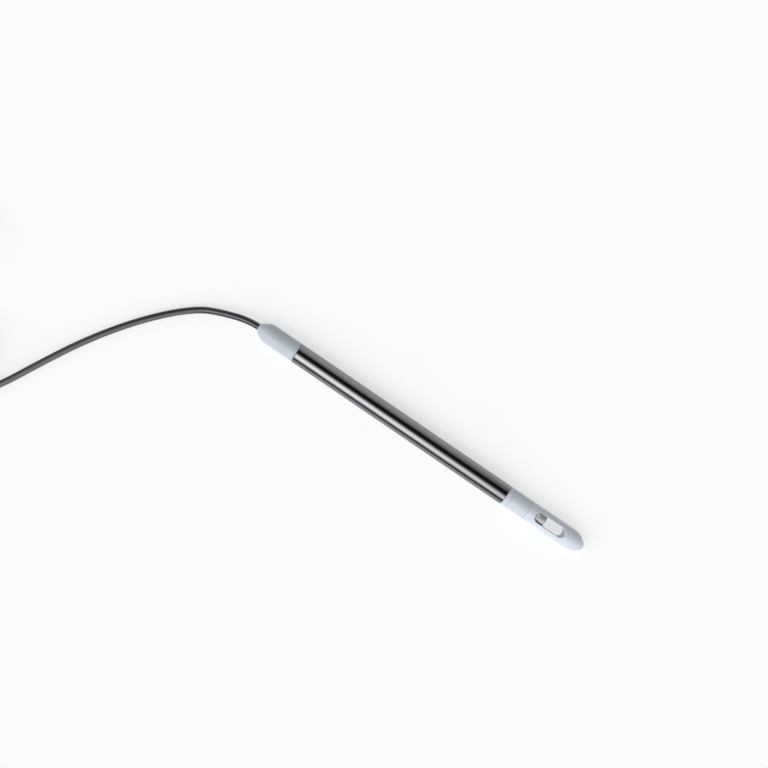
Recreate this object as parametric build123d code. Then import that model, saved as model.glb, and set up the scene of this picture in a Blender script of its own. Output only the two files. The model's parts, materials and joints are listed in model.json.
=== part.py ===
from build123d import *
import os
from math import cos, pi, radians, sin, sqrt, tan

# Optical dissolved oxygen probe with a fixed cord, lying on its side on a table.
# The shaft runs along X with the slotted guard at +X and the cord at -X.
# The origin is on the table, under the middle of the probe. Lengths are in millimetres.

# Probe, from the cord's end to the tip
boot_length = 26.4
tube_length = 144.0
collar_length = 15.1
guard_length = 38.2

# Shaft tube
shaft_radius = 6.0
tube_wall = 0.6
tube_edge_break = 0.2

# Moulded parts of the shaft, a hair under its size so that a fitting slides over them
moulding_inset = 0.03
moulding_edge_break = 0.4
spigot_clearance = 0.04
spigot_length = 11.0
spigot_lead_in = 0.5
seal_section = 1.0
seal_gap = 0.02
seal_groove_width = 1.3
seal_groove_inset = 3.0

# Cord and what holds it in the boot
cord_radius = 2.0
cord_clearance = 0.03
boot_lip = 0.45
boot_cone_length = 5.3
boot_shoulder_round = 9.0
boot_lip_round = 0.25
boot_wall = 0.9
cord_seal_inset = 8.0
cord_seal_length = 7.0
cord_seal_taper = 0.6
ferrule_wall = 0.6
ferrule_flange = 0.8
ferrule_flange_length = 1.0
ferrule_length = 8.0
face_gap = 0.05
jacket_strip_inset = 2.6

# Collar between the steel tube and the guard
collar_wall = 1.0
collar_line_inset = 2.9
collar_line_width = 0.5
collar_line_depth = 0.3
seam_edge_break = 0.3

# Guard and its thread on the collar
guard_wall = 1.37
guard_thread_length = 4.4
guard_thread_step = 0.35
guard_thread_clearance = 0.1
guard_thread_lead_in = 0.3
guard_bore_length = 20.5
guard_bore_taper = 1.2
slot_inset = 4.9
slot_length = 20.0
slot_width = 5.85
slot_edge_break = 0.25
wall_tolerance = 0.01
wall_samples = (0.1, 0.5, 0.9)
nose_length = 9.0
nose_tip_radius = 1.2
nose_tip_round = 0.9

# Metal sensor head, the sensing cap on it and its seals
flow_gap = 0.4
head_clearance = 0.05
head_shank_length = 22.0
head_seal_section = 0.8
head_seal_inset = 6.0
head_wall = 0.65
cap_seam_inset = 7.75
cap_end_inset = 11.7
cap_wall = 0.8
cap_clearance = 0.1
cap_end_wall = 0.5
cap_window_lip = 0.9
cap_edge_break = 0.25
cap_seam_gap = 0.04
cap_seal_section = 0.7
cap_seal_inset = 0.5
cap_seal_groove_width = 0.9
foil_thickness = 0.4
foil_gap = 0.1

# Temperature pin set in the side of the head
pin_radius = 0.65
pin_clearance = 0.02
pin_inset = 6.8
pin_angle = 19.5
pin_stand = 0.12
pin_depth = 1.7
pin_round = 0.3

# Optics behind the light guide
guide_clearance = 0.05
guide_edge_break = 0.2
optics_length = 11.5
optics_clearance = 0.05
optics_board_thickness = 1.0
lamp_radius = 0.8
lamp_length = 3.4
lamp_clearance = 0.05
lamp_spacing = 2.6
lamp_height = 0.9
diode_radius = 1.1
diode_length = 2.2
diode_drop = 1.3
filter_thickness = 0.7

# Circuit board in its cradle
cradle_clearance = 0.1
cradle_wall = 0.8
cradle_cheek = 2.0
cradle_cheek_rise = 2.8
cheek_window_width = 6.2
wire_room = 22.4
board_thickness = 1.0
board_seat = 0.3
header_length = 3.6
header_width = 7.0
header_height = 2.4
link_length = 2.6
link_width = 5.6
link_height = 1.9
link_pin = 0.5
link_pin_count = 4
link_pitch = 1.27
wire_radius = 0.42
wire_count = 4
wire_pitch = 1.5
wire_bundle = 0.75
wire_hole_clearance = 0.04
wire_reach = 2.0
wire_bend = 8.0
wire_bend_start = 0.3
wire_bend_end = 0.75

# What stands on the board, spread evenly in a row: length, width and height of each
amplifier_size = (4.0, 4.0, 0.9)
controller_size = (6.0, 6.0, 1.0)
crystal_size = (3.2, 1.6, 0.8)
driver_size = (4.9, 3.9, 1.4)
chip_edge_break = 0.15
capacitor_size = (3.4, 1.8, 1.6)
capacitor_gap = 1.6
capacitor_count = 3
spring_width = 2.0
spring_thickness = 0.2
spring_foot = 2.2
spring_span = 6.0
spring_crown = 2.4
spring_bend = 0.5

# Coil of the cord's spare length: rings from the outside in, then back out on top
arc_share = 0.45
coil_x = -256.5
coil_y = -117.5
coil_ring_count = 4
coil_ring_radius = 30.0
coil_top_height = 6.0
coil_edge_round = 1.6
tie_angle = 75.0
tie_width = 8.0
tie_thickness = 0.8
tie_gap = 0.1
tie_corner = 1.5
tie_tab = 6.0

# Plug, measured from the back of its strain relief
plug_from_coil = 30.0
relief_length = 12.0
relief_start_wall = 0.6
relief_end_wall = 2.3
relief_groove_width = 0.9
relief_groove_depth = 0.5
relief_groove_pitch = 2.2
relief_groove_count = 4
grip_radius = 5.4
grip_length = 19.0
grip_end_round = 1.2
grip_flute_count = 10
grip_flute_radius = 1.1
grip_flute_depth = 0.35
grip_flute_inset = 3.2
nut_radius = 7.3
nut_knurl_length = 9.0
nut_thread_radius = 6.0
nut_thread_length = 6.7
nut_thread_lead_in = 0.5
nut_edge_break = 0.5
nut_lip = 1.4
nut_gap = 0.15
nut_end_play = 0.3
nut_flute_count = 24
nut_flute_radius = 0.6
nut_flute_depth = 0.35
plug_neck_step = 0.45
plug_collar_step = 0.3
plug_collar_length = 1.6
plug_seal_section = 1.2
insert_wall = 0.85
insert_clearance = 0.05
insert_shank_radius = 3.9
insert_shank_length = 5.5
insert_cup_inset = 1.0
insert_recess_depth = 9.0
key_width = 1.0
key_height = 0.8
contact_radius = 0.5
contact_circle = 2.6
contact_count = 4
contact_stand = 7.8
contact_root = 3.5
contact_clearance = 0.02
contact_round = 0.25

# Places along the shaft
probe_length = boot_length + tube_length + collar_length + guard_length
axis_height = shaft_radius
tail_x = -probe_length / 2
tube_rear_x = tail_x + boot_length
tube_front_x = tube_rear_x + tube_length
seam_x = tube_front_x + collar_length
tip_x = seam_x + guard_length
head_face_x = seam_x + guard_thread_length
cap_seam_x = seam_x + cap_seam_inset
cap_end_x = seam_x + cap_end_inset
foil_face_x = cap_end_x - cap_end_wall
head_end_x = foil_face_x - foil_thickness - foil_gap
shank_rear_x = head_face_x - head_shank_length
optics_front_x = shank_rear_x - face_gap
optics_rear_x = optics_front_x - optics_length
optics_board_rear_x = optics_rear_x - optics_board_thickness
cradle_front_x = optics_board_rear_x - face_gap
cradle_rear_x = tube_rear_x + spigot_length + wire_room
board_front_x = cradle_front_x - cradle_cheek
board_rear_x = cradle_rear_x + cradle_cheek
board_length = board_front_x - board_rear_x
slot_front_x = seam_x + slot_inset
slot_end_x = slot_front_x + slot_length
guard_bore_end_x = seam_x + guard_bore_length

# Radii, worked from the shaft's inwards
moulding_radius = shaft_radius - moulding_inset
tube_bore = shaft_radius - tube_wall
spigot_radius = tube_bore - spigot_clearance
seal_floor = tube_bore - seal_section
boot_chamber = seal_floor - boot_wall
collar_bore = seal_floor - collar_wall
head_shank_radius = collar_bore - head_clearance
head_seal_floor = collar_bore - head_seal_section
guide_bore = head_seal_floor - head_wall
guide_radius = guide_bore - guide_clearance
guard_bore = moulding_radius - guard_wall
guard_socket = guard_bore + guard_thread_step
guard_thread_radius = guard_socket - guard_thread_clearance
head_radius = guard_bore - flow_gap
cap_bore = head_radius - cap_wall
head_nose_radius = cap_bore - cap_clearance
cap_seal_floor = cap_bore - cap_seal_section
cap_window = cap_bore - cap_window_lip
optics_radius = collar_bore - optics_clearance
cradle_radius = tube_bore - cradle_clearance
cradle_bore = cradle_radius - cradle_wall
board_width = 2 * (cradle_bore + board_seat)
board_top = board_thickness / 2

# Coil and plug
cord_diameter = 2 * cord_radius
coil_inner_radius = coil_ring_radius - (coil_ring_count - 1) * cord_diameter
plug_x = coil_x - coil_ring_radius + cord_radius
plug_height = nut_radius
plug_y = coil_y + plug_from_coil
grip_rear = relief_length
grip_front = grip_rear + grip_length
nut_rear = grip_front + nut_end_play
nut_lip_front = nut_rear + nut_lip
plug_collar_rear = nut_lip_front + nut_gap
plug_collar_front = plug_collar_rear + plug_collar_length
nut_shoulder = nut_rear + nut_knurl_length
nut_thread_rear = nut_shoulder + plug_seal_section
nut_front = nut_thread_rear + nut_thread_length
insert_front = nut_front - insert_cup_inset
insert_floor = insert_front - insert_recess_depth
plug_neck_radius = grip_radius - plug_neck_step
plug_collar_radius = grip_radius + plug_collar_step
nut_lip_bore = plug_neck_radius + nut_gap
nut_counterbore = plug_collar_radius + nut_gap
insert_cup_radius = insert_shank_radius + insert_wall
nut_bore = insert_cup_radius + nut_gap

# The cord's route from the boot to the coil, and from the coil to the plug
lead_route = [
    (tail_x, 0, axis_height),
    (tail_x - 7.0, 0, axis_height),
    (-136.5, -6.0, 3.6),
    (-147.0, -11.3, 2.0),
    (-160.5, -23.4, 2.0),
    (-176.0, -41.5, 2.0),
    (-191.5, -64.0, 2.0),
    (-205.0, -88.5, 2.0),
    (-215.5, -109.0, 2.0),
    (-227.4, -128.0, 2.0),
]
tail_route = [
    (plug_x, coil_y + 12.0, 6.1),
    (plug_x, coil_y + 18.0, 6.4),
    (plug_x, plug_y - 6.0, plug_height),
    (plug_x, plug_y, plug_height),
]


def outline(*points):
    """A flat face from corner points given as distance along the axis and radius."""
    return make_face(Polyline(*points, close=True))


def turned(face):
    """Turns a face round the X axis and lifts it to the shaft's height."""
    return Pos(0, 0, axis_height) * revolve(face, Axis.X)


def o_ring(x, floor, section):
    """A round-section seal centred at x, with its hole at the groove's floor."""
    minor = section / 2 - seal_gap
    return Pos(x, 0, axis_height) * Rot(0, 90, 0) * Torus(floor + section / 2, minor)


def along_axis(x, length, radius, y=0.0, z=0.0):
    """A cylinder along X, offset from the shaft's axis."""
    return Pos(x + length / 2, y, axis_height + z) * Rot(0, 90, 0) * Cylinder(radius, length)


def block(x, size, base, y=0.0):
    """A small box on the board: x is its middle, base its underside from the axis."""
    length, width, height = size
    return Pos(x, y, axis_height + base + height / 2) * Box(length, width, height)


def shaft_tube():
    """Steel tube with broken edges."""
    bore = tube_bore
    edge = tube_edge_break
    return turned(
        outline(
            (tube_rear_x, bore),
            (tube_rear_x, shaft_radius - edge),
            (tube_rear_x + edge, shaft_radius),
            (tube_front_x - edge, shaft_radius),
            (tube_front_x, shaft_radius - edge),
            (tube_front_x, bore),
        )
    )


def cable_boot():
    """Moulded boot: a cone that opens from the cord, a plain barrel and a sealed spigot."""
    lip = cord_radius + boot_lip
    cone_end = tail_x + boot_cone_length
    spigot_end = tube_rear_x + spigot_length
    groove = tube_rear_x + seal_groove_inset
    bore = cord_radius + cord_clearance
    chamber_start = tail_x + cord_seal_inset
    shell = turned(
        outline(
            (tail_x, bore),
            (tail_x, lip),
            (cone_end, moulding_radius),
            (tube_rear_x - moulding_edge_break, moulding_radius),
            (tube_rear_x, moulding_radius - moulding_edge_break),
            (tube_rear_x, spigot_radius),
            (groove, spigot_radius),
            (groove, seal_floor),
            (groove + seal_groove_width, seal_floor),
            (groove + seal_groove_width, spigot_radius),
            (spigot_end - spigot_lead_in, spigot_radius),
            (spigot_end, spigot_radius - spigot_lead_in),
            (spigot_end, boot_chamber),
            (chamber_start, boot_chamber),
            (chamber_start, bore),
        )
    )
    shoulder = shell.edges().filter_by(GeomType.CIRCLE).sort_by(
        lambda e: abs(e.center().X - cone_end) + abs(e.radius - moulding_radius)
    )[0]
    shell = fillet(shoulder, boot_shoulder_round)
    mouth = shell.edges().filter_by(GeomType.CIRCLE).sort_by(
        lambda e: abs(e.center().X - tail_x) + abs(e.radius - lip)
    )[0]
    return fillet(mouth, boot_lip_round)


def cord_seal():
    """Rubber bush that grips the cord inside the boot."""
    x = tail_x + cord_seal_inset
    inner = cord_radius + cord_clearance
    outer = boot_chamber - cord_clearance
    end = x + cord_seal_length
    return turned(
        outline(
            (x, inner),
            (x, outer - cord_seal_taper),
            (x + cord_seal_taper, outer),
            (end, outer),
            (end, inner),
        )
    )


def cord_ferrule():
    """Crimped metal sleeve on the cord, whose flange bears on the rubber bush."""
    x = tail_x + cord_seal_inset + cord_seal_length
    inner = cord_radius + cord_clearance
    outer = inner + ferrule_wall
    flange = min(outer + ferrule_flange, boot_chamber - cord_clearance)
    end = x + ferrule_length
    return turned(
        outline(
            (x, inner),
            (x, flange),
            (x + ferrule_flange_length, flange),
            (x + ferrule_flange_length, outer),
            (end, outer),
            (end, inner),
        )
    )


def cord_stub():
    """The cord's jacket inside the boot, up to where it is stripped."""
    length = cord_seal_inset + cord_seal_length + ferrule_length + jacket_strip_inset
    return along_axis(tail_x, length, cord_radius)


def shaft_collar():
    """Moulded collar: sealed spigot in the tube, barrel with a fine line, spigot for the guard's thread."""
    spigot_rear = tube_front_x - spigot_length
    groove = tube_front_x - seal_groove_inset - seal_groove_width
    line = tube_front_x + collar_line_inset
    return turned(
        outline(
            (spigot_rear, collar_bore),
            (spigot_rear, spigot_radius - spigot_lead_in),
            (spigot_rear + spigot_lead_in, spigot_radius),
            (groove, spigot_radius),
            (groove, seal_floor),
            (groove + seal_groove_width, seal_floor),
            (groove + seal_groove_width, spigot_radius),
            (tube_front_x, spigot_radius),
            (tube_front_x, moulding_radius - moulding_edge_break),
            (tube_front_x + moulding_edge_break, moulding_radius),
            (line, moulding_radius),
            (line + collar_line_width / 2, moulding_radius - collar_line_depth),
            (line + collar_line_width, moulding_radius),
            (seam_x - seam_edge_break, moulding_radius),
            (seam_x, moulding_radius - seam_edge_break),
            (seam_x, guard_thread_radius),
            (head_face_x - guard_thread_lead_in, guard_thread_radius),
            (head_face_x, guard_thread_radius - guard_thread_lead_in),
            (head_face_x, collar_bore),
        )
    )


def sensor_head():
    """Turned metal head: shank in the collar, barrel in the slot, nose under the cap, light guide's bore."""
    groove = head_face_x - head_seal_inset - head_seal_section
    cap_groove = cap_seam_x + cap_seal_inset
    body = turned(
        outline(
            (shank_rear_x, guide_bore),
            (shank_rear_x, head_shank_radius),
            (groove, head_shank_radius),
            (groove, head_seal_floor),
            (groove + head_seal_section, head_seal_floor),
            (groove + head_seal_section, head_shank_radius),
            (head_face_x, head_shank_radius),
            (head_face_x, head_radius),
            (cap_seam_x, head_radius),
            (cap_seam_x, head_nose_radius),
            (cap_groove, head_nose_radius),
            (cap_groove, cap_seal_floor),
            (cap_groove + cap_seal_groove_width, cap_seal_floor),
            (cap_groove + cap_seal_groove_width, head_nose_radius),
            (head_end_x, head_nose_radius),
            (head_end_x, guide_bore),
        )
    )
    bore = pin_radius + pin_clearance
    return body - side_pin(bore, head_radius - pin_depth - pin_clearance, 2 * head_radius)


def side_pin(radius, inner, outer):
    """A cylinder that points out of the head's side at the temperature pin's place."""
    middle = (inner + outer) / 2
    bar = Pos(0, 0, middle) * Cylinder(radius, outer - inner)
    return Pos(seam_x + pin_inset, 0, axis_height) * Rot(-pin_angle, 0, 0) * bar


def temperature_pin():
    """Metal thimble that holds the temperature sensor, its rounded end just proud of the head."""
    inner = head_radius - pin_depth
    pin = side_pin(pin_radius, inner, head_radius + pin_stand)
    axis = Vector(0, sin(radians(pin_angle)), cos(radians(pin_angle)))
    rim = pin.edges().filter_by(GeomType.CIRCLE).sort_by(lambda e: e.center().dot(axis))[-1]
    return fillet(rim, pin_round)


def light_guide():
    """Glass rod that carries light between the optics and the foil."""
    rear = shank_rear_x
    edge = guide_edge_break
    return turned(
        outline(
            (rear, 0),
            (rear, guide_radius - edge),
            (rear + edge, guide_radius),
            (head_end_x - edge, guide_radius),
            (head_end_x, guide_radius - edge),
            (head_end_x, 0),
        )
    )


def sensing_cap():
    """Metal cap with a lipped window that holds the sensing foil against the light guide."""
    rear = cap_seam_x + cap_seam_gap
    edge = cap_edge_break
    return turned(
        outline(
            (rear, cap_bore),
            (rear, head_radius),
            (cap_end_x - edge, head_radius),
            (cap_end_x, head_radius - edge),
            (cap_end_x, cap_window + edge),
            (foil_face_x, cap_window),
            (foil_face_x, cap_bore),
        )
    )


def sensing_foil():
    """Disc that carries the luminescent layer, behind the cap's window."""
    return along_axis(foil_face_x - foil_thickness, foil_thickness, cap_bore - guide_clearance)


def guard():
    """Moulded cage: socket for the collar's thread, bore round the head, slot right through, blunt nose."""
    rear = seam_x + face_gap
    socket_end = head_face_x + guard_thread_clearance
    nose_start = tip_x - nose_length
    edges = [
        Polyline(
            (tip_x, 0),
            (guard_bore_end_x + guard_bore_taper, 0),
            (guard_bore_end_x, guard_bore),
            (socket_end, guard_bore),
            (socket_end, guard_socket),
            (rear, guard_socket),
            (rear, moulding_radius - seam_edge_break),
            (rear + seam_edge_break, moulding_radius),
            (nose_start, moulding_radius),
        ),
        TangentArc((nose_start, moulding_radius), (tip_x, nose_tip_radius), tangent=(1, 0)),
        Line((tip_x, nose_tip_radius), (tip_x, 0)),
    ]
    cage = turned(make_face(edges))
    rim = cage.edges().filter_by(GeomType.CIRCLE).sort_by(lambda e: e.center().X)[-1]
    cage = fillet(rim, nose_tip_round)
    slot_middle = (slot_front_x + slot_end_x) / 2
    height = 4 * shaft_radius
    slot = extrude(SlotOverall(slot_length, slot_width), height / 2, both=True)
    cage -= Pos(slot_middle, 0, axis_height) * slot
    return broken_slot_edge(cage, slot_middle)


def broken_slot_edge(cage, slot_middle):
    """Breaks the slot's outer edges on both sides of the cage."""
    reach = slot_width / 2 + slot_edge_break
    rims = [
        e
        for e in cage.edges()
        if abs(e.center().X - slot_middle) < slot_length / 2 + slot_edge_break
        and on_outer_wall(e)
        and abs(e.center().Y) < reach
    ]
    return chamfer(rims, slot_edge_break) if rims else cage


def on_outer_wall(edge):
    """True where an edge lies on the outer wall of the cage all along."""
    for share in wall_samples:
        p = edge.position_at(share)
        if abs(sqrt(p.Y**2 + (p.Z - axis_height) ** 2) - moulding_radius) > wall_tolerance:
            return False
    return True


def optics_places():
    """Offsets of the measuring lamp, the reference lamp and the light detector from the axis."""
    return (lamp_spacing / 2, lamp_height), (-lamp_spacing / 2, lamp_height), (0, -diode_drop)


def optics_block():
    """Black holder behind the light guide, with a bore for each lamp and for the detector."""
    measuring, reference, detector = optics_places()
    holder = along_axis(optics_rear_x, optics_length, optics_radius)
    for y, z in (measuring, reference):
        holder -= along_axis(optics_rear_x, optics_length, lamp_radius + lamp_clearance, y, z)
    y, z = detector
    return holder - along_axis(optics_rear_x, optics_length, diode_radius + lamp_clearance, y, z)


def lamp(y, z):
    """A small lamp with a domed lens, standing on the optics board."""
    body = along_axis(optics_rear_x, lamp_length - lamp_radius, lamp_radius, y, z)
    dome_x = optics_rear_x + lamp_length - lamp_radius
    return body + Pos(dome_x, y, axis_height + z) * Sphere(lamp_radius)


def light_detector():
    """Photodiode can on the optics board."""
    y, z = optics_places()[2]
    return along_axis(optics_rear_x, diode_length, diode_radius, y, z)


def colour_filter():
    """Glass disc in front of the detector."""
    y, z = optics_places()[2]
    return along_axis(optics_rear_x + diode_length + face_gap, filter_thickness, diode_radius, y, z)


def optics_board():
    """Round board behind the optics."""
    return along_axis(optics_board_rear_x, optics_board_thickness, optics_radius)


def board_cradle():
    """Half shell that carries the circuit board, with a cheek at each end to locate it."""
    length = cradle_front_x - cradle_rear_x
    cheek_top = cradle_cheek_rise
    shell = along_axis(cradle_rear_x, length, cradle_radius)
    trough = along_axis(board_rear_x, board_length, cradle_bore)
    above = 2 * cradle_radius
    over_board = Pos((board_rear_x + board_front_x) / 2, 0, axis_height - board_top + above / 2) * Box(
        board_length, 2 * above, above
    )
    over_cheeks = Pos((cradle_rear_x + cradle_front_x) / 2, 0, axis_height + cheek_top + above / 2) * Box(
        2 * length, 2 * above, above
    )
    window_height = cradle_radius
    windows = Pos((cradle_rear_x + cradle_front_x) / 2, 0, axis_height + board_top + window_height / 2) * Box(
        2 * length, cheek_window_width, window_height
    )
    return shell - trough - over_board - over_cheeks - windows


def circuit_board():
    """Long narrow board that lies on the cradle's rims."""
    middle = (board_rear_x + board_front_x) / 2
    return block(middle, (board_length, board_width, board_thickness), -board_top)


def row_places():
    """Middle of each thing that stands on the board, spread evenly from its front end to the header."""
    lengths = {
        "link": link_length,
        "amplifier": amplifier_size[0],
        "spring": spring_span + 2 * spring_foot,
        "controller": controller_size[0],
        "crystal": crystal_size[0],
        "capacitors": capacitor_count * capacitor_size[0] + (capacitor_count - 1) * capacitor_gap,
        "driver": driver_size[0],
    }
    row_gap = (board_length - header_length - sum(lengths.values())) / len(lengths)
    places = {}
    x = board_front_x
    for name, length in lengths.items():
        places[name] = x - length / 2
        x -= length + row_gap
    return places


def chip(size, name):
    """A chip at its place in the row on top of the board."""
    body = block(row_places()[name], size, board_top)
    top = body.faces().sort_by(Axis.Z)[-1]
    return chamfer(top.edges(), chip_edge_break)


def capacitors():
    """Row of block capacitors on the board."""
    pitch = capacitor_size[0] + capacitor_gap
    first = row_places()["capacitors"] - (capacitor_count - 1) * pitch / 2
    return [block(first + i * pitch, capacitor_size, board_top) for i in range(capacitor_count)]


def ground_spring():
    """Bent strip that touches the tube's wall above the board."""
    wall = sqrt(tube_bore**2 - (spring_width / 2) ** 2) - seal_gap
    rise = wall - board_top - spring_thickness
    middle = row_places()["spring"]
    low = axis_height + board_top + spring_thickness / 2
    line = FilletPolyline(
        (middle - spring_span / 2 - spring_foot, low),
        (middle - spring_span / 2, low),
        (middle - spring_crown / 2, low + rise),
        (middle + spring_crown / 2, low + rise),
        (middle + spring_span / 2, low),
        (middle + spring_span / 2 + spring_foot, low),
        radius=spring_bend,
    )
    start = Vector(middle - spring_span / 2 - spring_foot, 0, low)
    path = Plane.XZ * line
    section = Plane(origin=start, x_dir=(0, 1, 0), z_dir=(1, 0, 0)) * Rectangle(spring_width, spring_thickness)
    return sweep(section, path=path, transition=Transition.ROUND)


def wire_places():
    """Side offsets of the wires at the header, and their places in the cord's end."""
    spread = [(i - (wire_count - 1) / 2) * wire_pitch for i in range(wire_count)]
    turn = [2 * pi * (i + 0.5) / wire_count for i in range(wire_count)]
    order = sorted(turn, key=lambda a: cos(a))
    return [(y, wire_bundle * cos(a), wire_bundle * sin(a)) for y, a in zip(spread, order)]


def header_hole_height():
    """Height of the header's holes above the axis."""
    return board_top + header_height / 2


def board_header():
    """Connector at the board's rear end with a hole for each wire."""
    x = board_rear_x + header_length / 2
    body = block(x, (header_length, header_width, header_height), board_top)
    for y, _, _ in wire_places():
        hole = wire_radius + wire_hole_clearance
        body -= along_axis(board_rear_x, wire_reach + face_gap, hole, y, header_hole_height())
    return body


def signal_wires():
    """Insulated wires from the cord's end to the header."""
    start = tail_x + cord_seal_inset + cord_seal_length + ferrule_length + jacket_strip_inset + face_gap
    end = board_rear_x + wire_reach
    span = end - start
    wires = []
    for y, near_y, near_z in wire_places():
        z = axis_height + header_hole_height()
        line = FilletPolyline(
            (start, near_y, axis_height + near_z),
            (start + span * wire_bend_start, near_y, axis_height + near_z),
            (start + span * wire_bend_end, y, z),
            (end, y, z),
            radius=wire_bend,
        )
        section = Plane(origin=line @ 0, z_dir=line % 0) * Circle(wire_radius)
        wires.append(sweep(section, path=line))
    return wires


def board_link():
    """Pin strip that joins the long board to the round one through the cradle's cheek."""
    strip = block(row_places()["link"], (link_length, link_width, link_height), board_top)
    reach = optics_board_rear_x - board_front_x - face_gap / 2
    for i in range(link_pin_count):
        y = (i - (link_pin_count - 1) / 2) * link_pitch
        size = (reach, link_pin, link_pin)
        strip += block(board_front_x + reach / 2, size, board_top + (link_height - link_pin) / 2, y)
    return strip


def corner_radii(route):
    """Arc at each corner: a fixed share of the shorter run over the tangent of half the turn."""
    points = [Vector(*p) for p in route]
    radii = []
    for before, corner, after in zip(points, points[1:], points[2:]):
        run_in = corner - before
        run_out = after - corner
        turn = radians(run_in.get_angle(run_out))
        radii.append(arc_share * min(run_in.length, run_out.length) / tan(turn / 2))
    return radii


def cord_tube(name, route):
    """A round tube along straight runs and tangent arcs."""
    radii = corner_radii(route)
    line = FilletPolyline(*route, radius=radii)
    section = Plane(origin=line @ 0, z_dir=line % 0) * Circle(cord_radius)
    tube = sweep(section, path=line)
    exact = pi * cord_radius**2 * line.length
    print(name, "length", round(line.length, 1), "volume", round(tube.volume), "of", round(exact))
    print(name, "radii", [round(r, 1) for r in radii])
    return tube


def cord_coil():
    """Outer shape of the coil: a rounded ring with a narrower upper layer, hollowed where the tie passes."""
    outer = coil_ring_radius + cord_radius
    inner = coil_inner_radius - cord_radius
    top = coil_top_height + cord_radius
    section = make_face(
        Polyline(
            (inner, 0),
            (outer, 0),
            (outer, cord_diameter),
            (outer - cord_radius, top),
            (inner + cord_radius, top),
            (inner, cord_diameter),
            close=True,
        )
    )
    section = fillet(section.vertices(), coil_edge_round)
    ring = Pos(coil_x, coil_y, 0) * revolve(Plane.XZ * section, Axis.Z)
    return ring - coil_tie()


def coil_tie():
    """Strap round the coil's turns, with the tab that closes it."""
    outer = coil_ring_radius + cord_radius + tie_gap
    inner = coil_inner_radius - cord_radius - tie_gap
    top = coil_top_height + cord_radius + tie_thickness + tie_gap
    middle = (outer + inner) / 2
    width = outer - inner
    height = top + tie_thickness
    inside = Pos(middle, height / 2) * RectangleRounded(width, top - tie_thickness, tie_corner)
    outside = Pos(middle, height / 2) * RectangleRounded(
        width + 2 * tie_thickness, height, tie_corner + tie_thickness
    )
    tab = Pos(middle, height + tie_thickness / 2) * Rectangle(tie_tab, tie_thickness)
    strap = extrude(Plane.XZ * (outside - inside + tab), tie_width / 2, both=True)
    return Pos(coil_x, coil_y, 0) * Rot(0, 0, tie_angle) * strap


def plug_turned(*points):
    """Turns corner points, given as distance from the plug's back and radius, round the plug's axis."""
    face = make_face(Polyline(*[(radius, along) for along, radius in points], close=True))
    return plug_place(revolve(face, Axis.Y))


def plug_place(shape):
    """Moves a shape from its own axes to the plug's place at the cord's end."""
    return Pos(plug_x, plug_y, plug_height) * shape


def plug_bar(start, length, radius, across=0.0, up=0.0):
    """A cylinder along the plug's axis, before it is placed."""
    return Pos(across, start + length / 2, up) * Rot(90, 0, 0) * Cylinder(radius, length)


def strain_relief():
    """Flexible tapered sleeve with grooves that let it bend."""
    start = cord_radius + relief_start_wall
    end = cord_radius + relief_end_wall
    slope = (end - start) / relief_length
    points = [(0, 0), (0, start)]
    first = (relief_length - (relief_groove_count - 1) * relief_groove_pitch - relief_groove_width) / 2
    for i in range(relief_groove_count):
        a = first + i * relief_groove_pitch
        b = a + relief_groove_width
        points += [
            (a, start + slope * a),
            (a, start + slope * a - relief_groove_depth),
            (b, start + slope * b - relief_groove_depth),
            (b, start + slope * b),
        ]
    points += [(relief_length, end), (relief_length, 0)]
    return plug_turned(*points)


def plug_body():
    """Moulded grip with finger flutes, a neck for the nut's lip and a collar that holds the nut on."""
    socket = insert_shank_radius + insert_clearance
    socket_floor = plug_collar_front - insert_shank_length
    body = revolve(
        make_face(
            Polyline(
                (0, grip_rear),
                (grip_radius - grip_end_round, grip_rear),
                (grip_radius, grip_rear + grip_end_round),
                (grip_radius, grip_front),
                (plug_neck_radius, grip_front),
                (plug_neck_radius, plug_collar_rear),
                (plug_collar_radius, plug_collar_rear),
                (plug_collar_radius, plug_collar_front),
                (socket, plug_collar_front),
                (socket, socket_floor),
                (0, socket_floor),
                close=True,
            )
        ),
        Axis.Y,
    )
    flute_length = grip_length - 2 * grip_flute_inset
    centre = grip_radius + grip_flute_radius - grip_flute_depth
    for i in range(grip_flute_count):
        a = 2 * pi * i / grip_flute_count
        body -= plug_bar(
            grip_rear + grip_flute_inset, flute_length, grip_flute_radius, centre * cos(a), centre * sin(a)
        )
    return plug_place(body)


def coupling_nut():
    """Knurled nut with an outside thread that pulls the plug into its socket."""
    seat = nut_thread_radius - plug_seal_section / 2
    nut = revolve(
        make_face(
            Polyline(
                (nut_lip_bore, nut_rear),
                (nut_radius - nut_edge_break, nut_rear),
                (nut_radius, nut_rear + nut_edge_break),
                (nut_radius, nut_shoulder - nut_edge_break),
                (nut_radius - nut_edge_break, nut_shoulder),
                (seat, nut_shoulder),
                (seat, nut_thread_rear),
                (nut_thread_radius, nut_thread_rear),
                (nut_thread_radius, nut_front - nut_thread_lead_in),
                (nut_thread_radius - nut_thread_lead_in, nut_front),
                (nut_bore, nut_front),
                (nut_bore, plug_collar_front + nut_gap),
                (nut_counterbore, plug_collar_front + nut_gap),
                (nut_counterbore, nut_lip_front),
                (nut_lip_bore, nut_lip_front),
                close=True,
            )
        ),
        Axis.Y,
    )
    centre = nut_radius + nut_flute_radius - nut_flute_depth
    for i in range(nut_flute_count):
        a = 2 * pi * (i + 0.5) / nut_flute_count
        nut -= plug_bar(nut_rear, nut_knurl_length, nut_flute_radius, centre * cos(a), centre * sin(a))
    return plug_place(nut)


def plug_seal():
    """Sealing ring behind the nut's thread."""
    seat = nut_thread_radius - plug_seal_section / 2
    minor = plug_seal_section / 2 - seal_gap
    ring = Rot(90, 0, 0) * Torus(seat + plug_seal_section / 2, minor)
    return plug_place(Pos(0, nut_shoulder + plug_seal_section / 2, 0) * ring)


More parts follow.
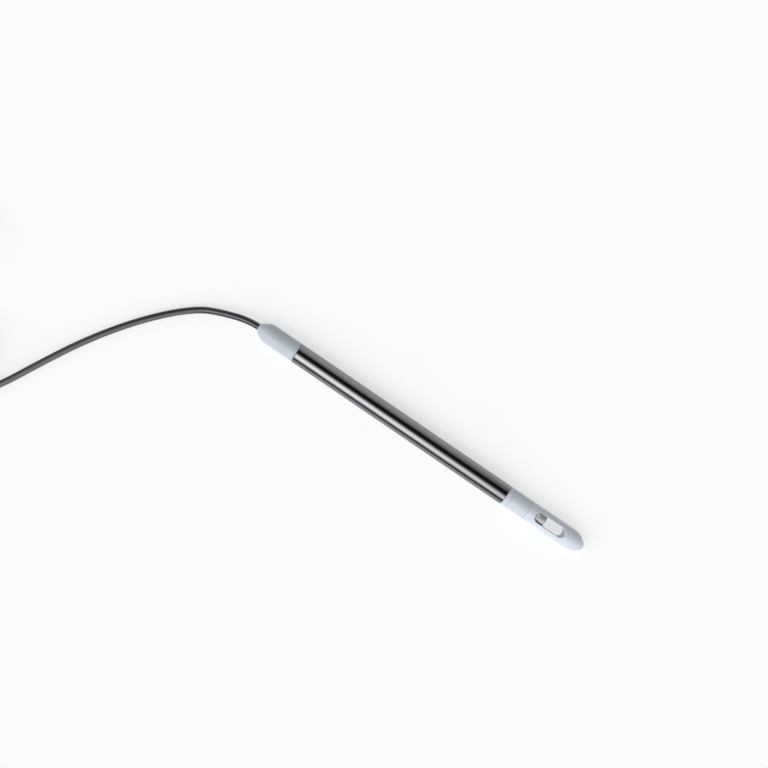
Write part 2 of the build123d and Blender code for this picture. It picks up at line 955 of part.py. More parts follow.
def contact_places():
    """Offsets of the contacts: a ring of them and one in the middle."""
    ring = [pi / contact_count + 2 * pi * i / contact_count for i in range(contact_count)]
    return [(contact_circle * cos(a), contact_circle * sin(a)) for a in ring] + [(0, 0)]


def contact_insert():
    """Insulating insert: shank in the grip, cup round the contacts, key rib inside the cup."""
    shank_rear = plug_collar_front - insert_shank_length + insert_clearance
    cup = revolve(
        make_face(
            Polyline(
                (0, shank_rear),
                (insert_shank_radius, shank_rear),
                (insert_shank_radius, plug_collar_front),
                (insert_cup_radius, plug_collar_front),
                (insert_cup_radius, insert_front),
                (insert_shank_radius, insert_front),
                (insert_shank_radius, insert_floor),
                (0, insert_floor),
                close=True,
            )
        ),
        Axis.Y,
    )
    key_middle = (insert_floor + insert_front) / 2
    key_outer = insert_shank_radius + insert_wall / 2
    key_inner = insert_shank_radius - key_height
    key = Pos(0, key_middle, (key_outer + key_inner) / 2) * Box(
        key_width, insert_front - insert_floor, key_outer - key_inner
    )
    cup += key
    for across, up in contact_places():
        cup -= plug_bar(
            insert_floor - contact_root, contact_root, contact_radius + contact_clearance, across, up
        )
    return plug_place(cup)


def contacts():
    """Round contact pins with rounded ends."""
    pins = []
    for across, up in contact_places():
        pin = plug_bar(insert_floor - contact_root, contact_root + contact_stand, contact_radius, across, up)
        rim = pin.edges().filter_by(GeomType.CIRCLE).sort_by(Axis.Y)[-1]
        pins.append(plug_place(fillet(rim, contact_round)))
    return pins


def boot_seal():
    """Seal between the boot's spigot and the tube."""
    middle = tube_rear_x + seal_groove_inset + seal_groove_width / 2
    return o_ring(middle, seal_floor, seal_section)


def collar_seal():
    """Seal between the collar's spigot and the tube."""
    middle = tube_front_x - seal_groove_inset - seal_groove_width / 2
    return o_ring(middle, seal_floor, seal_section)


def head_seal():
    """Seal between the head's shank and the collar's bore."""
    middle = head_face_x - head_seal_inset - head_seal_section / 2
    return o_ring(middle, head_seal_floor, head_seal_section)


def cap_seal():
    """Seal on the head's nose, inside the cap."""
    middle = cap_seam_x + cap_seal_inset + cap_seal_groove_width / 2
    return o_ring(middle, cap_seal_floor, cap_seal_section)


def write(name, shape):
    """Writes one sub-part, a single solid or a group of them, to its own file."""
    solids = []
    for piece in shape if isinstance(shape, list) else [shape]:
        solids += piece.solids()
    whole = solids[0] if len(solids) == 1 else Compound(children=solids)
    export_step(whole, f"parts/{name}.step")


def main():
    """Builds every sub-part and writes it."""
    os.makedirs("parts", exist_ok=True)
    measuring, reference, _ = optics_places()
    write("shaft_tube", shaft_tube())
    write("cable_boot", cable_boot())
    write("boot_seal", boot_seal())
    write("cord_seal", cord_seal())
    write("cord_ferrule", cord_ferrule())
    write("cord_stub", cord_stub())
    write("shaft_collar", shaft_collar())
    write("collar_seal", collar_seal())
    write("sensor_head", sensor_head())
    write("head_seal", head_seal())
    write("temperature_pin", temperature_pin())
    write("light_guide", light_guide())
    write("sensing_cap", sensing_cap())
    write("sensing_foil", sensing_foil())
    write("cap_seal", cap_seal())
    write("guard", guard())
    write("optics_block", optics_block())
    write("measuring_lamp", lamp(*measuring))
    write("reference_lamp", lamp(*reference))
    write("light_detector", light_detector())
    write("colour_filter", colour_filter())
    write("optics_board", optics_board())
    write("board_cradle", board_cradle())
    write("circuit_board", circuit_board())
    write("controller_chip", chip(controller_size, "controller"))
    write("amplifier_chip", chip(amplifier_size, "amplifier"))
    write("driver_chip", chip(driver_size, "driver"))
    write("crystal", chip(crystal_size, "crystal"))
    write("capacitors", capacitors())
    write("ground_spring", ground_spring())
    write("board_header", board_header())
    write("board_link", board_link())
    write("signal_wires", signal_wires())
    write("cable_lead", cord_tube("cable_lead", lead_route))
    write("cable_coil", cord_coil())
    write("cable_tail", cord_tube("cable_tail", tail_route))
    write("coil_tie", coil_tie())
    write("strain_relief", strain_relief())
    write("plug_body", plug_body())
    write("coupling_nut", coupling_nut())
    write("plug_seal", plug_seal())
    write("contact_insert", contact_insert())
    write("contacts", contacts())


main()
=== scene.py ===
import json
from math import cos, pi, radians, sin

import bmesh
import bpy
import numpy as np
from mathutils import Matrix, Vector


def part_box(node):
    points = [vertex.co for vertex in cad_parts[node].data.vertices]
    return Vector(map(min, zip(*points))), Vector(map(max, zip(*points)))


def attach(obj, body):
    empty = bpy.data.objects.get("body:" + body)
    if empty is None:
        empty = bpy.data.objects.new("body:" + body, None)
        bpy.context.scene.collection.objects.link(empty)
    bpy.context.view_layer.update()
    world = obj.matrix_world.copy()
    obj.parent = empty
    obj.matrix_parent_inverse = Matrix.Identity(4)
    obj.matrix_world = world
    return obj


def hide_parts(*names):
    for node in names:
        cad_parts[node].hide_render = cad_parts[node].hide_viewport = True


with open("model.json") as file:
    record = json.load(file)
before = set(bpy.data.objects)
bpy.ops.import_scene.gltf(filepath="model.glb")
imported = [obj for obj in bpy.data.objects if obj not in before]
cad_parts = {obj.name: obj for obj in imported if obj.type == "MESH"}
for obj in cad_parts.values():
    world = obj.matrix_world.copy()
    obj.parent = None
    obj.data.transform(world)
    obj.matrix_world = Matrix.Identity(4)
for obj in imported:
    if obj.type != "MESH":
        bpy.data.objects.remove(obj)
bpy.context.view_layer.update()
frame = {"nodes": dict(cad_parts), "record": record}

# Dissolved oxygen probe on a pale light table, seen from straight above.
# Lengths are in metres and angles in radians, in the frame's own axes.

nodes = frame["nodes"]

# Camera: it looks straight down, turned so that the shaft falls across the picture
camera_place = (-0.03445, 0.0133, 0.6159)
camera_turn = radians(34.25)
camera_lens = 50.0
camera_sensor = 36.0

# Studio light: brightness round the shaft, by degrees from straight up, towards -Y where positive
band_strength = 3.5
band_levels = [
    (-179, 0.20), (-92, 0.30), (-60, 0.20), (-42, 0.09), (-36, 0.004), (-4, 0.004),
    (9, 0.20), (25, 0.90), (33, 1.00), (52, 0.85), (62, 0.10), (86, 0.02), (100, 0.10), (179, 0.20),
]

# Studio light, by a direction's parts along the shaft and across it: where the bands fade towards the
# guard, where the end panels take over, and how those brighten towards -Y
band_fade = 0.6
band_fade_reach = (0.0, 0.30)
end_panel_reach = (0.28, 0.46)
end_panel_lean = (-0.25, 0.55)
end_panel_low = 0.3
end_panel_high = 2.2
light_colour = (0.965, 0.98, 1.0, 1.0)
floor_reach = 8.0

# Cord: the route's points, then the coil's turns, then the way into the plug
cord_radius = 0.002
boot_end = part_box("cable_boot")[0][0]
shaft_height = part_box("shaft_tube")[1][2] / 2
plug_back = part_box("strain_relief")[0][1]
lead_points = [
    (boot_end, 0.0, shaft_height),
    (boot_end - 0.007, 0.0, shaft_height),
    (-0.1365, -0.0060, 0.0036),
    (-0.1470, -0.0113, 0.0020),
    (-0.1605, -0.0234, 0.0020),
    (-0.1760, -0.0415, 0.0020),
    (-0.1915, -0.0640, 0.0020),
    (-0.2050, -0.0885, 0.0020),
    (-0.2155, -0.1090, 0.0020),
]
coil_centre = (-0.2565, -0.1175)
coil_rings = (0.030, 0.026, 0.022, 0.018, 0.020, 0.024, 0.028)
coil_low = 0.0020
coil_high = 0.0060
coil_start = radians(340)
coil_turns = 6 + 160 / 360
coil_points_a_turn = 16
coil_climb = 3
shift_early = (0.40, 0.62)
shift_late = (0.75, 1.00)
shift_climb = (0.50, 0.70)
tie_angle = radians(75)
tie_lift = 0.0008
tie_lift_inner = radians(16)
tie_lift_outer = radians(48)
plug_x = coil_centre[0] - coil_rings[-1]
plug_height = 0.0073
tail_points = [
    (plug_x, coil_centre[1] + 0.0120, 0.0061),
    (plug_x, coil_centre[1] + 0.0180, 0.0064),
    (plug_x, plug_back - 0.0060, plug_height),
    (plug_x, plug_back + 0.0006, plug_height),
]

# Strap round the coil: a closed band and the short end on top, with the powers of its section's oval
strap_width = 0.0080
strap_thickness = 0.0008
strap_inner = 0.0159
strap_outer = 0.0321
strap_floor = 0.0008
strap_top = 0.0089
strap_corner = 0.0015
strap_tab = 0.0060
strap_tab_share = 0.94
strap_flatness = 0.3
strap_edge = 0.6
strap_samples_round = 28
strap_samples_corner = 9
strap_samples_tab = 25

# Coupling nut: places along the plug's axis, from the strain relief's back, and radii
nut_rear = 0.0313
nut_lip_front = 0.0327
nut_counterbore_end = 0.0346
nut_shoulder = 0.0403
nut_thread_rear = 0.0415
nut_front = 0.0482
nut_radius = 0.0073
nut_edge = 0.0005
nut_seat_radius = 0.0054
nut_thread_radius = 0.0060
nut_thread_pitch = 0.0010
nut_thread_depth = 0.0005
nut_thread_fade = 0.0006
nut_lip_bore = 0.0051
nut_counterbore = 0.00585
nut_bore = 0.0049
nut_samples_a_pitch = 12
flute_count = 24
flute_samples = 12
flute_radius = 0.0006
flute_depth = 0.00035

# Fine threads on the collar and on the head's nose: start, end, core's radius and height of the ridge
collar_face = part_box("shaft_collar")[1][0]
head_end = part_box("sensor_head")[1][0]
collar_thread = (collar_face - 0.0039, collar_face - 0.0004, 0.00485, 0.00008)
head_thread = (head_end - 0.0014, head_end - 0.0002, 0.0033, 0.00007)

# Ridge of both threads: its corners in pitches along and in heights up, and how far its foot is sunk
thread_pitch = 0.0008
thread_ridge_along = (-0.36, -0.08, 0.08, 0.36, 0.0)
thread_ridge_up = (0.0, 1.0, 1.0, 0.0, 0.0)
thread_sink = 0.00004
thread_steps_a_turn = 64
thread_growth = 0.5
thread_tip = 0.02


class Value:
    """One output of a shader node. Sums, differences and products of values add their own Math nodes."""

    def __init__(self, tree, socket):
        self.tree = tree
        self.socket = socket

    def maths(self, operation, *operands):
        return add_node(self.tree, "ShaderNodeMath", {"operation": operation}, dict(enumerate(operands)))

    def __add__(self, other):
        return self.maths("ADD", self, other)

    def __radd__(self, other):
        return self.maths("ADD", other, self)

    def __sub__(self, other):
        return self.maths("SUBTRACT", self, other)

    def __rsub__(self, other):
        return self.maths("SUBTRACT", other, self)

    def __mul__(self, other):
        return self.maths("MULTIPLY", self, other)

    def __rmul__(self, other):
        return self.maths("MULTIPLY", other, self)

    def __truediv__(self, other):
        return self.maths("DIVIDE", self, other)

    def __rtruediv__(self, other):
        return self.maths("DIVIDE", other, self)

    def size(self):
        return self.maths("ABSOLUTE", self)

    def sine(self):
        return self.maths("SINE", self)

    def ramp(self, low, high):
        """0 below low and 1 above high, smooth between them."""
        settings = {"interpolation_type": "SMOOTHSTEP"}
        return add_node(self.tree, "ShaderNodeMapRange", settings, {0: self, 1: low, 2: high})

    def parts(self):
        """The three parts of a vector."""
        split = add_node(self.tree, "ShaderNodeSeparateXYZ", {}, {0: self})
        return [Value(self.tree, socket) for socket in split.socket.node.outputs]


def add_node(tree, kind, settings=(), sockets=(), output=0):
    """Adds a node, gives it its settings and then its sockets' values or links, and returns one output.

    A tree's last node has no output, so it returns nothing.
    """
    node = tree.nodes.new(kind)
    for name, setting in dict(settings).items():
        if name == "stops":
            set_stops(node.color_ramp, setting)
        else:
            setattr(node, name, setting)
    for name, value in dict(sockets).items():
        if isinstance(value, Value):
            tree.links.new(value.socket, node.inputs[name])
        else:
            node.inputs[name].default_value = value
    return Value(tree, node.outputs[output]) if node.outputs else None


def set_stops(colour_ramp, stops):
    """Gives a colour ramp its stops, each a place from 0 to 1 and a grey."""
    while len(colour_ramp.elements) > 1:
        colour_ramp.elements.remove(colour_ramp.elements[-1])
    for index, (place, grey) in enumerate(stops):
        stop = colour_ramp.elements.new(place) if index else colour_ramp.elements[0]
        stop.position = place
        stop.color = (grey, grey, grey, 1)


def mixed(tree, share, first, second):
    """A colour between two colours."""
    sockets = {0: share, 6: (*first, 1), 7: (*second, 1)}
    return add_node(tree, "ShaderNodeMix", {"data_type": "RGBA"}, sockets, 2)


def new_material(name):
    """A material with an empty tree."""
    material = bpy.data.materials.new(name)
    material.use_nodes = True
    material.node_tree.nodes.clear()
    return material, material.node_tree


def place_on_object(tree, scale=(1, 1, 1)):
    """Object coordinates in metres, stretched by a scale along each axis."""
    place = add_node(tree, "ShaderNodeTexCoord", {}, {}, "Object")
    return add_node(tree, "ShaderNodeMapping", {}, {"Vector": place, "Scale": scale})


def grain(tree, place, scale, detail=2.0, roughness=0.5):
    """Soft noise from 0 to 1."""
    sockets = {"Vector": place, "Scale": scale, "Detail": detail, "Roughness": roughness}
    return add_node(tree, "ShaderNodeTexNoise", {}, sockets, "Fac")


def bumps(tree, height, depth, strength=1.0):
    """Surface normal for a height from 0 to 1 that stands for a depth in metres."""
    return add_node(tree, "ShaderNodeBump", {}, {"Height": height, "Distance": depth, "Strength": strength})


def principled(tree, **sockets):
    """The main shader, joined to the output."""
    named = {name.replace("_", " "): value for name, value in sockets.items()}
    shader = add_node(tree, "ShaderNodeBsdfPrincipled", {}, named)
    add_node(tree, "ShaderNodeOutputMaterial", {}, {"Surface": shader})


def polished_steel():
    """Shaft: steel polished along its length, with faint lengthwise lines and slow changes of gloss."""
    material, tree = new_material("polished_steel")
    lines = grain(tree, place_on_object(tree, (30, 5200, 5200)), 1.0, 3.0)
    clouds = grain(tree, place_on_object(tree, (1, 1, 1)), 90.0)
    colour = mixed(tree, lines, (0.21, 0.21, 0.215), (0.25, 0.25, 0.26))
    principled(
        tree,
        Base_Color=colour,
        Metallic=1.0,
        Roughness=0.12 + 0.05 * lines + 0.04 * clouds,
        Normal=bumps(tree, lines, 0.000002, 0.5),
    )
    return material


def satin_moulding(name, colour, shade):
    """White moulded plastic: cool white with a fine eggshell surface and faint flow marks along it."""
    material, tree = new_material(name)
    flow = grain(tree, place_on_object(tree, (60, 260, 260)), 1.0, 2.0)
    skin = grain(tree, place_on_object(tree), 5200.0, 2.0)
    principled(
        tree,
        Base_Color=mixed(tree, flow, colour, shade),
        Roughness=0.34 + 0.12 * skin,
        Normal=bumps(tree, skin, 0.000012, 0.35),
        Specular_IOR_Level=0.5,
    )
    return material


def turned_metal():
    """Sensor head and cap: metal turned on a lathe, so its fine rings run round the axis."""
    material, tree = new_material("turned_metal")
    rings = grain(tree, place_on_object(tree, (9000, 60, 60)), 1.0, 3.0, 0.6)
    streaks = grain(tree, place_on_object(tree, (120, 1500, 1500)), 1.0, 2.0)
    principled(
        tree,
        Base_Color=mixed(tree, streaks, (0.34, 0.34, 0.35), (0.60, 0.60, 0.61)),
        Metallic=1.0,
        Roughness=0.50 + 0.08 * rings + 0.06 * streaks,
        Normal=bumps(tree, rings, 0.000006, 0.5),
    )
    return material


def plated(name, colour, roughness):
    """Plated or drawn metal with small changes of gloss."""
    material, tree = new_material(name)
    wear = grain(tree, place_on_object(tree), 900.0, 4.0)
    low = tuple(0.88 * part for part in colour)
    principled(
        tree,
        Base_Color=mixed(tree, wear, low, colour),
        Metallic=1.0,
        Roughness=roughness + 0.12 * wear,
        Normal=bumps(tree, wear, 0.000004, 0.4),
    )
    return material


def cord_jacket():
    """Cord: blue-black rubber with a fine drawn skin and a soft sheen."""
    material, tree = new_material("cord_jacket")
    skin = grain(tree, place_on_object(tree), 3800.0, 3.0)
    clouds = grain(tree, place_on_object(tree), 160.0)
    principled(
        tree,
        Base_Color=mixed(tree, clouds, (0.005, 0.006, 0.010), (0.009, 0.011, 0.016)),
        Roughness=0.18 + 0.08 * skin,
        Specular_IOR_Level=1.0,
        Normal=bumps(tree, skin, 0.000014, 0.4),
    )
    return material


def dull(name, colour, roughness, scale=2600.0, depth=0.00001):
    """Rubber or moulded plastic with a fine grain and slightly uneven colour."""
    material, tree = new_material(name)
    skin = grain(tree, place_on_object(tree), scale, 3.0)
    low = tuple(0.78 * part for part in colour)
    principled(
        tree,
        Base_Color=mixed(tree, skin, low, colour),
        Roughness=roughness + 0.12 * skin,
        Normal=bumps(tree, skin, depth, 0.5),
    )
    return material


def woven_strap():
    """Hook-and-loop strap: a fine twill whose ribs run across the weave, on the strap's own coordinates."""
    material, tree = new_material("woven_strap")
    along, across, _ = add_node(tree, "ShaderNodeUVMap", {"uv_map": "weave"}).parts()
    twill = (along * 5200 + across * 5200).sine() * 0.5 + 0.5
    weft = (across * 9000).sine() * 0.5 + 0.5
    height = twill * 0.7 + weft * 0.3
    principled(
        tree,
        Base_Color=mixed(tree, height, (0.010, 0.010, 0.012), (0.045, 0.045, 0.050)),
        Roughness=0.86 - 0.12 * height,
        Normal=bumps(tree, height, 0.00010, 0.8),
        Sheen_Weight=0.4,
    )
    return material


def clear(name, colour, roughness):
    """Glass, polished and lightly tinted."""
    material, tree = new_material(name)
    haze = grain(tree, place_on_object(tree), 700.0)
    principled(
        tree,
        Base_Color=mixed(tree, haze, tuple(0.94 * part for part in colour), colour),
        Roughness=roughness + 0.02 * haze,
        Transmission_Weight=1.0,
        IOR=1.5,
    )
    return material


def circuit_green():
    """Solder resist with faint copper tracks under it."""
    material, tree = new_material("circuit_green")
    place = place_on_object(tree)
    _, across, _ = place.parts()
    tracks = ((across * 5200).sine() * 0.5 + 0.5).ramp(0.70, 0.80)
    islands = grain(tree, place, 420.0).ramp(0.46, 0.52)
    copper = tracks * islands
    principled(
        tree,
        Base_Color=mixed(tree, copper, (0.012, 0.090, 0.045), (0.040, 0.190, 0.090)),
        Roughness=0.30 + 0.08 * copper,
        Normal=bumps(tree, copper, 0.00003, 0.6),
    )
    return material


def floor_sheet():
    """Pale light table: a sheet of opal acrylic, partly lit from below."""
    material, tree = new_material("floor_sheet")
    cloud = grain(tree, place_on_object(tree), 40.0)
    colour = mixed(tree, cloud, (0.35, 0.35, 0.35), (0.37, 0.37, 0.37))
    principled(
        tree,
        Base_Color=colour,
        Roughness=0.95,
        Specular_IOR_Level=0.1,
        Emission_Color=(1.0, 1.0, 1.0, 1.0),
        Emission_Strength=0.62,
    )
    return material


def new_mesh(name, points, faces, material, loop_uv=None, sharp=radians(38)):
    """An object at the origin whose mesh has these points and faces, smooth up to a sharp angle."""
    mesh = bpy.data.meshes.new(name)
    mesh.from_pydata(points.tolist(), [], faces.tolist())
    if loop_uv is not None:
        mesh.uv_layers.new(name="weave").data.foreach_set("uv", loop_uv.ravel())
    mesh.materials.append(material)
    mesh.polygons.foreach_set("use_smooth", np.ones(len(mesh.polygons), dtype=bool))
    mesh.set_sharp_from_angle(angle=sharp)
    mesh.update()
    piece = bpy.data.objects.new(name, mesh)
    bpy.context.scene.collection.objects.link(piece)
    return piece


def grid_faces(rows, columns, close_rows, close_columns):
    """Quads of a grid whose points are numbered row by row. A closed way joins its last line to its first."""
    row = np.arange(rows if close_rows else rows - 1)[:, None]
    column = np.arange(columns if close_columns else columns - 1)[None, :]
    next_row = (row + 1) % rows
    next_column = (column + 1) % columns
    corners = (
        row * columns + column,
        row * columns + next_column,
        next_row * columns + next_column,
        next_row * columns + column,
    )
    return np.stack([np.broadcast_to(c, (row.size, column.size)) for c in corners], axis=-1).reshape(-1, 4)


def smooth_step(value, low, high):
    """0 below low, 1 above high, and 3t2 - 2t3 between them."""
    share = np.clip((value - low) / (high - low), 0, 1)
    return share * share * (3 - 2 * share)


def coil_points():
    """Control points of the coil's turns.

    The angle falls evenly from the coil's start. The radius stays on each ring in turn and moves to the
    next ring over a short part of the turn, and the height rises once, from the lower to the upper layer.
    Near the strap each point is lifted by the strap's thickness.
    """
    count = round(coil_turns * coil_points_a_turn)
    turn = np.arange(count + 1) / coil_points_a_turn
    angle = coil_start - 2 * pi * turn
    radius = np.full(turn.shape, coil_rings[0])
    for ring in range(len(coil_rings) - 1):
        low, high = shift_late if ring < coil_climb else shift_early
        if ring == coil_climb:
            low, high = shift_climb
        share = smooth_step(turn, ring + low, ring + high)
        radius += share * (coil_rings[ring + 1] - coil_rings[ring])
    climb = smooth_step(turn, coil_climb + shift_climb[0], coil_climb + shift_climb[1])
    height = coil_low + climb * (coil_high - coil_low)
    from_tie = np.abs((angle - tie_angle + pi) % (2 * pi) - pi)
    height = height + tie_lift * (1 - smooth_step(from_tie, tie_lift_inner, tie_lift_outer))
    radius = radius / cos(pi / coil_points_a_turn)
    x = coil_centre[0] + radius * np.cos(angle)
    y = coil_centre[1] + radius * np.sin(angle)
    return np.stack([x, y, height], axis=1).tolist()


def make_cord(material):
    """The cord: one smooth spline from the boot through the coil to the plug, with a round section."""
    points = lead_points + coil_points() + tail_points
    curve = bpy.data.curves.new("cord", "CURVE")
    curve.dimensions = "3D"
    curve.bevel_depth = cord_radius
    curve.bevel_resolution = 6
    curve.use_fill_caps = True
    spline = curve.splines.new("NURBS")
    spline.points.add(len(points) - 1)
    spline.points.foreach_set("co", np.array([(*point, 1) for point in points]).ravel())
    spline.order_u = 3
    spline.use_endpoint_u = True
    spline.resolution_u = 10
    curve.materials.append(material)
    cord = bpy.data.objects.new("cord", curve)
    bpy.context.scene.collection.objects.link(cord)
    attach(cord, "root")
    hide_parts("cable_lead", "cable_coil", "cable_tail")
    return cord


def rounded_loop(left, right, bottom, top, corner, samples):
    """Points and outward directions round a rectangle with rounded corners.

    Each corner is a quarter circle about its own centre, and the straight sides join their ends.
    """
    quarter = np.linspace(0, pi / 2, samples)
    centres = ((right - corner, top - corner), (left + corner, top - corner),
               (left + corner, bottom + corner), (right - corner, bottom + corner))
    outward = []
    points = []
    for index, centre in enumerate(centres):
        angle = quarter + index * pi / 2
        direction = np.stack([np.cos(angle), np.sin(angle)], axis=1)
        outward.append(direction)
        points.append(np.array(centre) + corner * direction)
    return np.concatenate(points), np.concatenate(outward)


def strap_surface(path, outward, closed, thickness, width):
    """A strap along a path in its own plane.

    Its section is a flat oval: across the strap half the width times a small power of the angle's cosine,
    and through it half the thickness times a power of the sine, each with the sign kept. An open strap's
    thickness falls to nothing at its two ends as the fourth root of the distance from the end.
    """
    angle = np.linspace(0, 2 * pi, strap_samples_round, endpoint=False)
    across = width / 2 * np.sign(np.cos(angle)) * np.abs(np.cos(angle)) ** strap_flatness
    through = thickness / 2 * np.sign(np.sin(angle)) * np.abs(np.sin(angle)) ** strap_edge
    share = np.linspace(0, 1, len(path))
    full = np.ones(len(path)) if closed else (4 * share * (1 - share)) ** 0.25
    plane = path[:, None, :] + outward[:, None, :] * (through[None, :] * full[:, None])[..., None]
    side = np.broadcast_to(across[None, :], plane.shape[:2])
    length = np.concatenate([[0], np.cumsum(np.linalg.norm(np.diff(path, axis=0), axis=1))])
    return plane, side, length


def make_strap(material):
    """Strap round the coil: a closed band and, on top, the short end that holds it shut.

    Each is a surface of two parameters, the way along its path and the angle round its section. The
    paths lie in the upright plane through the coil's centre at the strap's angle.
    """
    radial = np.array([cos(tie_angle), sin(tie_angle)])
    tangent = np.array([-sin(tie_angle), cos(tie_angle)])
    half = strap_thickness / 2
    band = rounded_loop(
        strap_inner - half,
        strap_outer + half,
        strap_floor - half,
        strap_top + half,
        strap_corner,
        strap_samples_corner,
    )
    middle = (strap_inner + strap_outer) / 2
    along = np.linspace(-strap_tab / 2, strap_tab / 2, strap_samples_tab)
    tab_height = np.full(strap_samples_tab, strap_top + strap_thickness + half)
    tab_path = np.stack([middle + along, tab_height], axis=1)
    tab_outward = np.tile([0.0, 1.0], (strap_samples_tab, 1))
    points, faces, uvs = [], [], []
    start = 0
    for (path, outward), closed, width in (
        (band, True, strap_width),
        ((tab_path, tab_outward), False, strap_tab_share * strap_width),
    ):
        plane, side, length = strap_surface(path, outward, closed, strap_thickness, width)
        rows, columns = side.shape
        flat = plane[..., 0, None] * radial + side[..., None] * tangent
        placed = np.stack(
            [coil_centre[0] + flat[..., 0], coil_centre[1] + flat[..., 1], plane[..., 1]], axis=-1
        )
        quads = grid_faces(rows, columns, closed, True)
        points.append(placed.reshape(-1, 3))
        faces.append(quads + start)
        own = np.stack([np.broadcast_to(length[:, None], side.shape), side], axis=-1).reshape(-1, 2)
        uvs.append(own[quads].reshape(-1, 2))
        start += rows * columns
    strap = new_mesh(
        "coil_strap", np.concatenate(points), np.concatenate(faces), material, np.concatenate(uvs)
    )
    face_outwards(strap)
    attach(strap, "root")
    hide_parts("coil_tie")
    return strap


def face_outwards(piece):
    """Turns every face of a closed piece outwards."""
    work = bmesh.new()
    work.from_mesh(piece.data)
    bmesh.ops.remove_doubles(work, verts=work.verts, dist=1e-8)
    bmesh.ops.recalc_face_normals(work, faces=work.faces)
    work.to_mesh(piece.data)
    work.free()


def nut_profile():
    """Corners of the nut's section as distance along the plug and radius, round its whole outline."""
    turns = (nut_front - nut_thread_fade - nut_thread_rear) / nut_thread_pitch
    thread = np.linspace(nut_thread_rear, nut_front - nut_edge, round(turns * nut_samples_a_pitch))
    outside = [
        (nut_rear, nut_lip_bore),
        (nut_rear, nut_radius - nut_edge),
        (nut_rear + nut_edge, nut_radius),
        ((nut_rear + nut_shoulder) / 2, nut_radius),
        (nut_shoulder - nut_edge, nut_radius),
        (nut_shoulder, nut_radius - nut_edge),
        (nut_shoulder, nut_seat_radius),
        (nut_thread_rear, nut_seat_radius),
    ]
    outside += [(along, nut_thread_radius) for along in thread]
    inside = [
        (nut_front, nut_thread_radius - nut_edge),
        (nut_front, nut_bore),
        (nut_counterbore_end, nut_bore),
        (nut_counterbore_end, nut_counterbore),
        (nut_lip_front, nut_counterbore),
        (nut_lip_front, nut_lip_bore),
    ]
    return np.array(outside + inside)


def make_nut(material):
    """Coupling nut: its section turned round the plug's axis, with flutes and a thread cut into it.

    A flute is the near side of a circle whose centre lies just outside the nut, so its radius is the
    centre's distance times the cosine of the angle from the flute's middle, less the rest of the circle.
    The thread's radius falls from the crest by a triangle wave of the place along the axis in pitches,
    less the angle in turns, and fades out at both ends.
    """
    profile = nut_profile()
    along = profile[:, 0, None]
    base = profile[:, 1, None]
    columns = flute_count * flute_samples
    angle = np.linspace(0, 2 * pi, columns, endpoint=False)[None, :]
    step = 2 * pi / flute_count
    off_middle = angle % step - step / 2
    centre = nut_radius + flute_radius - flute_depth
    rest = np.clip(flute_radius**2 - (centre * np.sin(off_middle)) ** 2, 0, None)
    flute = centre * np.cos(off_middle) - np.sqrt(rest)
    in_flute = centre * np.abs(np.sin(off_middle)) < flute_radius
    on_knurl = (base >= nut_radius - nut_edge) & (along <= nut_shoulder)
    radius = np.where(on_knurl & in_flute, np.minimum(base, flute), base)
    wave = np.abs(((along - nut_thread_rear) / nut_thread_pitch - angle / (2 * pi)) % 1 - 0.5) * 2
    thread_front = nut_front - nut_edge
    fade_in = smooth_step(along, nut_thread_rear, nut_thread_rear + nut_thread_fade)
    fade = fade_in * (1 - smooth_step(along, thread_front - nut_thread_fade, thread_front))
    on_thread = (along >= nut_thread_rear) & (base == nut_thread_radius)
    radius = radius - np.where(on_thread, nut_thread_depth * wave * fade, 0)
    x = plug_x + radius * np.cos(angle)
    z = plug_height + radius * np.sin(angle)
    y = np.broadcast_to(plug_back + along, x.shape)
    points = np.stack([x, y, z], axis=-1).reshape(-1, 3)
    nut = new_mesh("threaded_nut", points, grid_faces(*x.shape, True, True), material)
    face_outwards(nut)
    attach(nut, "coupling_nut")
    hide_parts("coupling_nut")
    return nut


def make_thread(name, start, end, core, height, slot, material):
    """A fine screw thread round the shaft's axis.

    It is one ridge carried round a helix: its section goes from just inside the core to a narrow crest
    and back, and its height and width grow from nothing and fall to nothing over the end turns.
    """
    turns = (end - start) / thread_pitch
    turn = np.linspace(0, turns, round(turns * thread_steps_a_turn))[:, None]
    along = np.array(thread_ridge_along)[None, :] * thread_pitch
    up = np.array(thread_ridge_up)[None, :]
    grow = smooth_step(turn, 0, thread_growth) * (1 - smooth_step(turn, turns - thread_growth, turns))
    radius = core - thread_sink + (height + thread_sink) * up * grow
    x = start + turn * thread_pitch + along * np.maximum(grow, thread_tip)
    angle = 2 * pi * turn
    y = radius * np.cos(angle)
    z = shaft_height + radius * np.sin(angle)
    points = np.stack([x, y, z], axis=-1)
    piece = new_mesh(name, points.reshape(-1, 3), grid_faces(*x.shape, False, True), material)
    face_outwards(piece)
    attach(piece, "root")


def dress(name, material):
    """Gives a node from the frame its material."""
    mesh = nodes[name].data
    mesh.materials.clear()
    mesh.materials.append(material)


def make_floor(material):
    """Plain pale floor under the probe: one square about the origin."""
    corners = np.array([(-1, -1, 0), (1, -1, 0), (1, 1, 0), (-1, 1, 0)]) * floor_reach
    floor = new_mesh("floor", corners, np.array([[0, 1, 2, 3]]), material)


def make_camera():
    """Camera that looks straight down."""
    data = bpy.data.cameras.new("camera")
    data.lens = camera_lens
    data.sensor_width = camera_sensor
    camera = bpy.data.objects.new("camera", data)
    camera.location = camera_place
    camera.rotation_euler = (0, 0, camera_turn)
    bpy.context.scene.collection.objects.link(camera)
    bpy.context.scene.camera = camera


